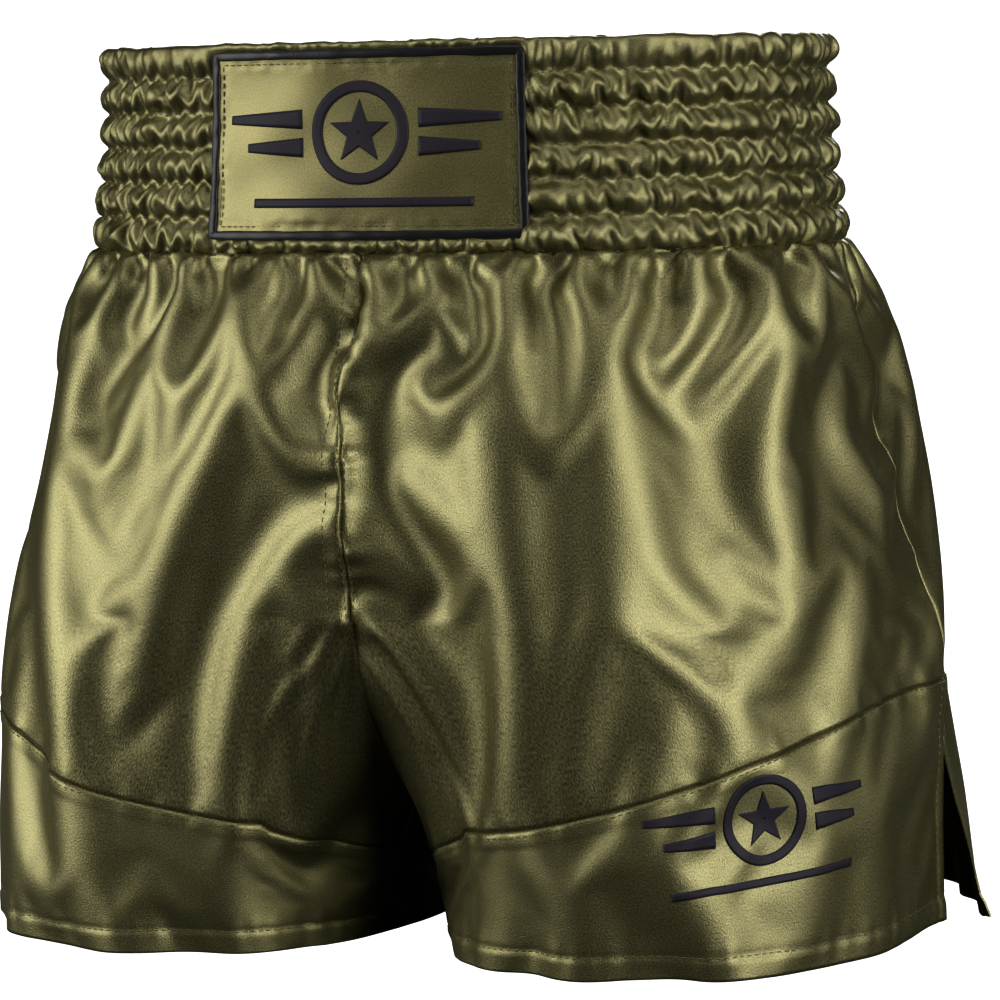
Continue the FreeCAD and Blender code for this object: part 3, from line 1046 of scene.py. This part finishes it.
def make_waistband():
    grid = simulate_waistband()
    press_under_patch(grid)
    fine = closed_fine(grid)
    tucked = fine[:1] * TUCK_IN - np.array([0, 0, TUCK_DOWN])
    sewn = np.concatenate([tucked, fine])        # the seam allowance, behind the legs
    ids = band_ids(sewn.shape[:2])
    points = sewn.reshape(-1, 3)
    normals = vertex_normals(points, quads_of(ids))
    for half, part in halves_of(ids).items():
        obj = cloth_piece("waistband_" + half, points, normals, [(part, 0, 0)], 0, SATIN)
        follow_waist(obj)
        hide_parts("waistband_outer_" + half)
    lines = []
    for channel in range(CHANNELS):
        row = channel * ROWS_PER_CHANNEL * 2 + len(tucked)
        lines.append((points[ids[row]], normals[ids[row]]))
    obj = stitching("waistband_stitching", lines, 2.9 * MM, 2.1 * MM, 0.28 * MM, THREAD)
    follow_waist(obj)
    make_lining(grid)
    make_elastics()


LINING_INSET = 4.8 * MM


def make_lining(grid):
    """The lining inside, gathered on the same stitch lines as the outer cloth."""
    count = CHANNELS * ROWS_PER_CHANNEL
    rows = []
    for r in range(count):
        z = SEAM_Z + WAISTBAND * r / count - 0.6 * MM
        base, out = waist_outline(z, STITCH_INSET)
        moved = np.roll(grid[r] - base, 41, axis=0)
        turned = np.roll(out, 41, axis=0)
        radial = np.einsum("ij,ij->i", moved, turned)
        along = np.cross([0, 0, 1], turned)
        tangent = np.einsum("ij,ij->i", moved, along)
        place, out = waist_outline(z, LINING_INSET)
        along = np.cross([0, 0, 1], out)
        rows.append(place - out * 0.75 * radial[:, None] + along * 0.8 * tangent[:, None]
                    + np.array([0, 0, 0.9]) * moved[:, 2:])
    lining = np.array(rows)
    ids = band_ids(lining.shape[:2])
    points = lining.reshape(-1, 3)
    normals = vertex_normals(points, quads_of(ids))
    for half, part in halves_of(ids).items():
        obj = cloth_piece("lining_" + half, points, -normals, [(part, 0, 0)], 0,
                          LINING_CLOTH, flip=True)
        follow_waist(obj)
        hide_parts("waistband_lining_" + half)


ELASTIC_TALL, ELASTIC_ROWS = 8 * MM, 6


def make_elastics():
    """One flat woven elastic inside each channel."""
    for channel in range(CHANNELS):
        # the top one sits a little lower, clear of the turned edge
        middle = HEIGHT - PITCH * (channel + 0.5) - (1.0 * MM if channel == 0 else 0)
        rings = []
        for k in range(ELASTIC_ROWS + 1):
            z = middle + ELASTIC_TALL * (k / ELASTIC_ROWS - 0.5)
            rings.append(waist_outline(z, 2.1 * MM)[0][::3])
        grid = np.array(rings)
        ids = band_ids(grid.shape[:2])
        points = grid.reshape(-1, 3)
        normals = vertex_normals(points, quads_of(ids))
        name = "elastic_%d" % (channel + 1)
        obj = cloth_piece(name, points, normals, [(ids, 0, 0)], 1.0 * MM, WEBBING)
        follow_waist(obj)
        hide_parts("elastic_band_%d" % (channel + 1))


# ---------------------------------------------------------------- patch
ARC_TURN = np.linspace(-1.3, 1.3, 2001)
ARC_POINTS = np.stack([WAIST_HALF * MM * signed_power(np.sin(ARC_TURN), 2 / ROUNDNESS),
                       WAIST_DEPTH * MM * np.cos(ARC_TURN) ** (2 / ROUNDNESS)], 1)
ARC_LENGTH = distances(ARC_POINTS)
ARC_LENGTH -= ARC_LENGTH[1000]


def patch_place(across, down, stand):
    """A point over the front of the waistband and its outward direction.

    across runs to the wearer's left from the middle, down from the patch's top edge.
    """
    across, down, stand = np.broadcast_arrays(across, down, stand)
    z = HEIGHT - PATCH_MARGIN - down
    flare = (1 - np.clip((z - SEAM_Z) / WAISTBAND, 0, 1)) ** 2
    turn = np.interp(across, ARC_LENGTH, ARC_TURN)
    half = (WAIST_HALF + FLARE_HALF * flare) * MM + stand
    depth = (WAIST_DEPTH + FLARE_DEPTH * flare) * MM + stand
    x = half * signed_power(np.sin(turn), 2 / ROUNDNESS)
    y = -depth * np.cos(turn) ** (2 / ROUNDNESS)
    out = np.stack([signed_power(x / half, ROUNDNESS - 1) / half,
                    signed_power(y / depth, ROUNDNESS - 1) / depth, np.zeros_like(x)], -1)
    out /= np.linalg.norm(out, axis=-1)[..., None]
    return np.stack([x, y, z], -1), out


PATCH_EMBLEM_DOWN = 32 * MM


def make_patch():
    rows, cols = 56, 92
    edge = 1.5 * MM
    across = np.linspace(-PATCH_HALF + edge, PATCH_HALF - edge, cols)[None, :]
    down = np.linspace(edge, PATCH_TALL - edge, rows)[:, None]
    near = np.minimum(np.minimum(PATCH_HALF - np.abs(across), down), PATCH_TALL - down)
    swell = smooth_noise((rows, cols), 2.2, 3.0) * 0.35 * MM * np.clip(near / (8 * MM), 0, 1)
    crimp = smooth_noise((rows, cols), 14, 22) * 0.12 * MM * bump(near - 5 * MM, 4 * MM)
    stand = 1.2 * MM + swell + crimp - 0.25 * MM * bump(near - 5.2 * MM, 1.1 * MM)
    points, normals = patch_place(across, down, stand)
    ids = np.arange(rows * cols).reshape(rows, cols)
    obj = cloth_piece("front_patch", points.reshape(-1, 3), normals.reshape(-1, 3),
                      [(ids, 0, 0)], 0.9 * MM, PATCH_SATIN, flip=True)
    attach(obj, "shorts")
    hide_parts("patch_panel")
    lines = []
    inset = 5.2 * MM
    ends = [(-1, 0), (1, 0), (1, 1), (-1, 1), (-1, 0)]
    for (x0, y0), (x1, y1) in zip(ends, ends[1:]):
        t = np.linspace(0, 1, 60)
        a = (x0 + (x1 - x0) * t) * (PATCH_HALF - inset)
        d = inset + (y0 + (y1 - y0) * t) * (PATCH_TALL - 2 * inset)
        line, out = patch_place(a, d, 1.1 * MM)
        lines.append((line, out))
    seam = stitching("patch_stitching", lines, 3.0 * MM, 2.2 * MM, 0.26 * MM, THREAD)
    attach(seam, "shorts")
    binding = make_binding()

    def on_patch(a, d):
        a, d = np.broadcast_arrays(a, d + PATCH_EMBLEM_DOWN)
        row = (d - edge) / (PATCH_TALL - 2 * edge) * (rows - 1)
        col = (a + PATCH_HALF - edge) / (2 * PATCH_HALF - 2 * edge) * (cols - 1)
        out = sampled(normals, row, col)
        return sampled(points, row, col) + out * 0.3 * MM, out

    emblem = make_emblem("patch_emblem", on_patch, 1.05)
    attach(emblem, "shorts")


def make_binding():
    """The folded black tape round the edge of the patch."""
    half_wide, radius = 1.8 * MM, 1.6 * MM
    a_end, top, low = PATCH_HALF - half_wide, half_wide, PATCH_TALL - half_wide
    corners = [(a_end, top), (a_end, low), (-a_end, low), (-a_end, top)]
    path = []
    for k, (a, d) in enumerate(corners):
        before, after = corners[k - 1], corners[(k + 1) % 4]
        entry = np.array([a + math.copysign(radius, before[0] - a) * (before[0] != a),
                          d + math.copysign(radius, before[1] - d) * (before[1] != d)])
        leave = np.array([a + math.copysign(radius, after[0] - a) * (after[0] != a),
                          d + math.copysign(radius, after[1] - d) * (after[1] != d)])
        corner = np.array([a, d])
        for t in np.linspace(0, 1, 7):
            path.append(entry * (1 - t)**2 + corner * 2 * t * (1 - t) + leave * t**2)
        following = np.array(after) - np.sign(np.array(after) - corner) * radius
        for t in np.linspace(0, 1, 60)[1:-1]:
            path.append(leave * (1 - t) + following * t)
    path = np.array(path)
    ahead = np.roll(path, -1, axis=0) - np.roll(path, 1, axis=0)
    ahead /= np.linalg.norm(ahead, axis=1)[:, None]
    sideways = np.stack([-ahead[:, 1], ahead[:, 0]], 1)
    sides = 12
    wide = 1 + 0.07 * smooth_noise((1, len(path)), 1, 40)[0]
    tall = 1 + 0.13 * smooth_noise((1, len(path)), 1, 55)[0]
    rings = []
    for k in range(sides):
        turn = 2 * math.pi * k / sides
        reach = half_wide * signed_power(np.array(math.cos(turn)), 0.7) * wide
        rise = 0.95 * MM * signed_power(np.array(math.sin(turn)), 0.7) * tall
        at = path + sideways * reach[:, None]
        rings.append(patch_place(at[:, 0], at[:, 1], 1.1 * MM + rise)[0])
    ids = np.arange(sides * len(path)).reshape(sides, len(path))
    ids = np.vstack([ids, ids[:1]])
    ids = np.hstack([ids, ids[:, :1]])
    points = np.array(rings).reshape(-1, 3)
    obj = cloth_piece("patch_binding_tape", points, points, [(ids, 0, 0)], 0, BINDING,
                      flip=True)
    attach(obj, "shorts")
    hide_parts("patch_binding")
    return obj


# ---------------------------------------------------------------- printed emblem
def emblem_shapes(size):
    """A star in a ring with a pair of tapered bars each side and a plain bar below."""
    shapes = []
    turn = np.linspace(0, 2 * math.pi, 97)
    radii = np.linspace(14.8, 19.0, 5)[:, None] * MM * size
    shapes.append((radii * np.cos(turn), radii * np.sin(turn)))
    corners = []
    for k in range(11):
        reach = 12.2 if k % 2 == 0 else 5.0
        angle = -math.pi / 2 + math.pi * k / 5
        corners.append((reach * math.cos(angle), reach * math.sin(angle)))
    corners = np.array(corners) * MM * size
    steps = np.linspace(0, 1, 8)[:-1, None]
    edge = np.vstack([a * (1 - steps) + b * steps for a, b in zip(corners, corners[1:])]
                     + [corners[:1]])
    grow = np.linspace(0.02, 1, 8)[:, None]
    shapes.append((grow * edge[:, 0], grow * edge[:, 1]))
    for side in (-1, 1):
        for near, far, middle, half_near, half_far in ((23, 54, -5.2, 3.6, 1.6),
                                                       (23, 46, 5.2, 3.6, 1.6)):
            t = np.linspace(0, 1, 24)[:, None]
            u = np.linspace(-1, 1, 5)[None, :] * side
            a = side * (near + (far - near) * t) * MM * size + 0 * u
            d = (middle + u * (half_near + (half_far - half_near) * t)) * MM * size
            shapes.append((a, d))
    t = np.linspace(-1, 1, 60)[:, None]
    u = np.linspace(-1, 1, 4)[None, :]
    shapes.append((43 * MM * size * t + 0 * u, (25.5 + 1.7 * u) * MM * size + 0 * t))
    return shapes


def make_emblem(name, place, size):
    blocks, points, normals, count = [], [], [], 0
    for across, down in emblem_shapes(size):
        at, out = place(across, down)
        ids = count + np.arange(at[..., 0].size).reshape(at.shape[:2])
        count += ids.size
        if np.allclose(at[:, 0], at[:, -1]):
            ids[:, -1] = ids[:, 0]
        blocks.append((ids, 0, 0))
        points.append(at.reshape(-1, 3))
        normals.append(out.reshape(-1, 3))
    obj = cloth_piece(name, np.vstack(points), np.vstack(normals), blocks, 0.3 * MM, PRINT)
    return obj


# ---------------------------------------------------------------- leg pieces
CLOTH = 0.8 * MM
GUSSET_COLS = 28                   # visible columns of the gusset, each way from the middle


def make_legs():
    points, grids = simulate_legs()
    fine, ids = fine_legs(points, grids)
    faces = np.vstack([quads_of(g)[:, ::-1] if side == "left" else quads_of(g)
                       for side in ids for g in ids[side]])
    normals = vertex_normals(fine, faces)
    fine = fine + normals * seam_relief(fine, ids)[:, None]
    normals = vertex_normals(fine, faces)
    front, chain = FRONT_COLS * FINE, CHAIN_COLS * FINE
    back = BACK_COLS * FINE
    upper, body_rows = UPPER_ROWS * FINE, BODY_ROWS * FINE
    middle = back + chain // 2
    gusset = []
    for side, (body, leg) in ids.items():
        flip = side == "left"
        ahead = middle + GUSSET_COLS
        behind = middle - GUSSET_COLS
        panels = {
            "front": [(body[:, :front + 1], 0, 0), (leg[:upper + 1, back + chain:], body_rows, 0),
                      (leg[:upper + 1, ahead:back + chain + 1], body_rows,
                       ahead - back - chain)],
            "back": [(body[:, front:], 0, front), (leg[:upper + 1, :back + 1], body_rows, front),
                     (leg[:upper + 1, back:behind + 1], body_rows, front + back)],
        }
        bands = {
            "front": [(leg[upper:, middle:], body_rows + upper, middle - back - chain)],
            "back": [(leg[upper:, :middle + 1], body_rows + upper, front)],
        }
        gusset.append((side, leg[:upper + 1, behind:ahead + 1]))
        for half in ("front", "back"):
            name = half + "_panel_" + side
            obj = cloth_piece("satin_" + name, fine, normals, panels[half], CLOTH, SATIN, flip)
            follow_seat(obj)
            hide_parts(name)
            name = half + "_band_" + side
            obj = cloth_piece("satin_" + name, fine, normals, bands[half], CLOTH, SATIN, flip)
            follow_flap(obj, half, side)
            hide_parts(name, half + "_flap_" + side)
            seam = band_stitching(half, side, fine, normals, leg)
        panel_stitching(side, fine, normals, body)
    make_gusset(fine, normals, gusset)
    body, leg = ids["left"]
    make_leg_emblem(fine, normals, leg)


def make_gusset(points, normals, parts):
    """The gusset is one piece of cloth that both inner legs share."""
    left, right = parts[0][1], parts[1][1]
    whole = np.vstack([left[::-1], right[1:]])
    obj = cloth_piece("satin_gusset", points, normals, [(whole, 0, 0)], CLOTH, SATIN,
                      parts[1][0] == "left")
    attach(obj, "shorts")
    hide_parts("crotch_gusset")


def band_stitching(half, side, points, normals, leg):
    """Topstitching of a lower band: under its seam, round its hem and up the slit."""
    upper = UPPER_ROWS * FINE
    middle = (BACK_COLS + CHAIN_COLS // 2) * FINE
    last_row, last_col = leg.shape[0] - 1, leg.shape[1] - 1
    grid, outward = points[leg], normals[leg]
    tall = travel_along(points, leg[upper:], 0)[-1] / (last_row - upper)
    wide = travel_along(points, leg, 1)[:, -1] / last_col
    cols = np.arange(middle, last_col + 0.1) if half == "front" else np.arange(0, middle + 0.1)
    step = tall[cols.astype(int)]
    rows_of = [upper + 1.7 * MM / step, last_row - HEM / step]
    lines = []
    for rows in rows_of:
        lines.append((sampled(grid, rows, cols), sampled(outward, rows, cols)))
    rows = np.arange(upper + 2, last_row - 2.0)
    off = FACING / wide[rows.astype(int)]
    cols = last_col - off if half == "front" else off
    lines.append((sampled(grid, rows, cols), sampled(outward, rows, cols)))
    obj = stitching(half + "_band_" + side + "_stitching", lines, 3.2 * MM, 2.3 * MM,
                    0.27 * MM, THREAD)
    follow_flap(obj, half, side)
    return obj


def panel_stitching(side, points, normals, body):
    """Topstitching down the centre seams; the felled side has two rows."""
    grid, outward = points[body], normals[body]
    rows = np.arange(2, len(body) - 1.0)
    last = body.shape[1] - 1
    lines = []
    for col in ((1.1, 5.6) if side == "right" else (1.1,)):
        for cols in (np.full(rows.shape, col), np.full(rows.shape, last - col)):
            lines.append((sampled(grid, rows, cols), sampled(outward, rows, cols)))
    obj = stitching("centre_seam_" + side + "_stitching", lines, 3.2 * MM, 2.3 * MM,
                    0.27 * MM, THREAD)
    follow_seat(obj)


EMBLEM_FROM_SLIT = 128 * MM        # middle of the printed emblem, along the cloth
EMBLEM_HEIGHT = 60 * MM
EMBLEM_TILT = 0.07                 # it rises towards the slit, as the band seam does


def make_leg_emblem(points, normals, leg):
    upper = UPPER_ROWS * FINE
    first = (BACK_COLS + CHAIN_COLS) * FINE
    grid, outward = points[leg[upper:, first:]], normals[leg[upper:, first:]]
    middle_row = len(grid) // 2
    arc = travel_along(points, leg[upper:, first:], 1)[middle_row]
    cols = np.arange(grid.shape[1], dtype=float)

    def place(across, down):
        across, down = np.broadcast_arrays(across, down)
        col = np.interp(arc[-1] - EMBLEM_FROM_SLIT + across, arc, cols)
        low = sampled(grid, np.full(col.shape, len(grid) - 1.0), col)[..., 2]
        high = sampled(grid, np.zeros(col.shape), col)[..., 2]
        level = EMBLEM_HEIGHT + EMBLEM_TILT * across - down
        row = (high - level) / (high - low) * (len(grid) - 1)
        out = sampled(outward, row, col)
        return sampled(grid, row, col) + out * 0.35 * MM, out

    obj = make_emblem("leg_emblem", place, 0.92)
    follow_flap(obj, "front", "left")


# ---------------------------------------------------------------- care label
LABEL_INSET = 5.6                            # mm: how far in from the outline it is sewn


def make_label():
    """A blank care label hanging inside the centre back, a little curled."""
    wide, tall = 32 * MM, 38 * MM
    a = np.linspace(-0.5, 0.5, 17)[None, :]
    d = np.linspace(0, 1, 21)[:, None]
    x = a * wide + 0 * d
    z = HEIGHT - 7 * MM - d * tall + 0 * a
    y = (WAIST_DEPTH - LABEL_INSET) * MM - 3.2 * MM - 2.0 * MM * d**2 - 2 * MM * (2 * a)**2 * d
    y = y - 0.5 * MM * np.sin(9 * a + 4 * d)
    points = np.stack([x, y, z], -1).reshape(-1, 3)
    ids = np.arange(len(points)).reshape(21, 17)
    normals = vertex_normals(points, quads_of(ids))
    obj = cloth_piece("care_label_tape", points, normals, [(ids, 0, 0)], 0.35 * MM, LABEL_TAPE)
    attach(obj, "waist_back")
    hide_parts("care_label")


make_waistband()
make_patch()
make_legs()
make_label()


# ---------------------------------------------------------------- floor, light and camera
def make_stage():
    """The floor glows white to the camera alone; light and reflections find it dark."""
    mesh = bpy.data.meshes.new("floor")
    far = 25.0
    mesh.from_pydata([(-far, -far, 0), (far, -far, 0), (far, far, 0), (-far, far, 0)], [],
                     [(0, 1, 2, 3)])
    floor = bpy.data.objects.new("floor", mesh)
    floor.location.z = -1 * MM
    bpy.context.collection.objects.link(floor)
    paint = bpy.data.materials.new("floor_paint")
    paint.use_nodes = True
    shader = paint.node_tree.nodes["Principled BSDF"]
    shader.inputs["Base Color"].default_value = (0.09, 0.09, 0.09, 1)
    shader.inputs["Roughness"].default_value = 0.9
    tree = paint.node_tree
    glow = node(tree, "ShaderNodeEmission", Color=(1, 1, 1, 1), Strength=0.97)
    unseen = node(tree, "ShaderNodeEmission", Strength=0.0)
    seen = node(tree, "ShaderNodeLightPath")
    only = node(tree, "ShaderNodeMixShader")
    both = node(tree, "ShaderNodeAddShader")
    join = paint.node_tree.links.new
    join(seen.outputs["Is Camera Ray"], only.inputs["Fac"])
    join(unseen.outputs["Emission"], only.inputs[1])
    join(glow.outputs["Emission"], only.inputs[2])
    join(only.outputs["Shader"], both.inputs[0])
    join(shader.outputs["BSDF"], both.inputs[1])
    join(both.outputs["Shader"], paint.node_tree.nodes["Material Output"].inputs["Surface"])
    mesh.materials.append(paint)


def area_light(name, place, aim, wide, tall, power):
    light = bpy.data.lights.new(name, "AREA")
    light.shape = "RECTANGLE"
    light.size, light.size_y = wide, tall
    light.energy = power
    obj = bpy.data.objects.new(name, light)
    bpy.context.collection.objects.link(obj)
    obj.location = place
    obj.rotation_euler = (Vector(aim) - Vector(place)).to_track_quat("-Z", "Y").to_euler()


def make_lights():
    """Softboxes, and a background that is white to the camera and dark to all else."""
    world = bpy.data.worlds.new("studio")
    bpy.context.scene.world = world
    world.use_nodes = True
    tree = world.node_tree
    dim = tree.nodes["Background"]
    dim.inputs["Color"].default_value = (1, 1, 1, 1)
    dim.inputs["Strength"].default_value = 0.006
    bright = node(tree, "ShaderNodeBackground", Color=(1, 1, 1, 1), Strength=1.0)
    path = node(tree, "ShaderNodeLightPath")
    mix = node(tree, "ShaderNodeMixShader")
    tree.links.new(path.outputs["Is Camera Ray"], mix.inputs["Fac"])
    tree.links.new(dim.outputs["Background"], mix.inputs[1])
    tree.links.new(bright.outputs["Background"], mix.inputs[2])
    tree.links.new(mix.outputs["Shader"], tree.nodes["World Output"].inputs["Surface"])
    middle = (0, 0, 0.18)
    area_light("left_softbox", (-1.8, -1.3, 0.6), middle, 1.3, 1.5, 28)
    area_light("right_softbox", (1.9, -0.9, 0.6), middle, 1.2, 1.5, 26)
    area_light("side_softbox", (2.0, 0.6, 0.6), middle, 0.6, 1.2, 3)
    area_light("top_softbox", (0.2, -1.0, 1.9), middle, 0.9, 0.4, 6)
    area_light("back_softbox", (-0.4, 2.2, 1.3), middle, 1.4, 1.0, 30)


CAMERA_TURN = math.radians(23)
CAMERA_DISTANCE = 1.75
CAMERA_HEIGHT = 0.335
CAMERA_ROLL = math.radians(1.2)
LENS = 154.5
AIM = (11.5 * MM, 168 * MM)          # to the camera's right of the axis, and above the floor


def make_camera():
    lens = bpy.data.cameras.new("camera")
    lens.lens = LENS
    camera = bpy.data.objects.new("camera", lens)
    bpy.context.collection.objects.link(camera)
    right = Vector((math.cos(CAMERA_TURN), math.sin(CAMERA_TURN), 0))
    place = Vector((CAMERA_DISTANCE * math.sin(CAMERA_TURN),
                    -CAMERA_DISTANCE * math.cos(CAMERA_TURN), CAMERA_HEIGHT))
    aim = right * AIM[0] + Vector((0, 0, AIM[1]))
    look = (aim - place).to_track_quat("-Z", "Y")
    camera.location = place
    camera.rotation_euler = (look @ Quaternion((0, 0, 1), -CAMERA_ROLL)).to_euler()
    bpy.context.scene.camera = camera


make_stage()
make_lights()
make_camera()
bpy.context.scene.view_settings.view_transform = "Standard"
bpy.context.scene.view_settings.look = "High Contrast"
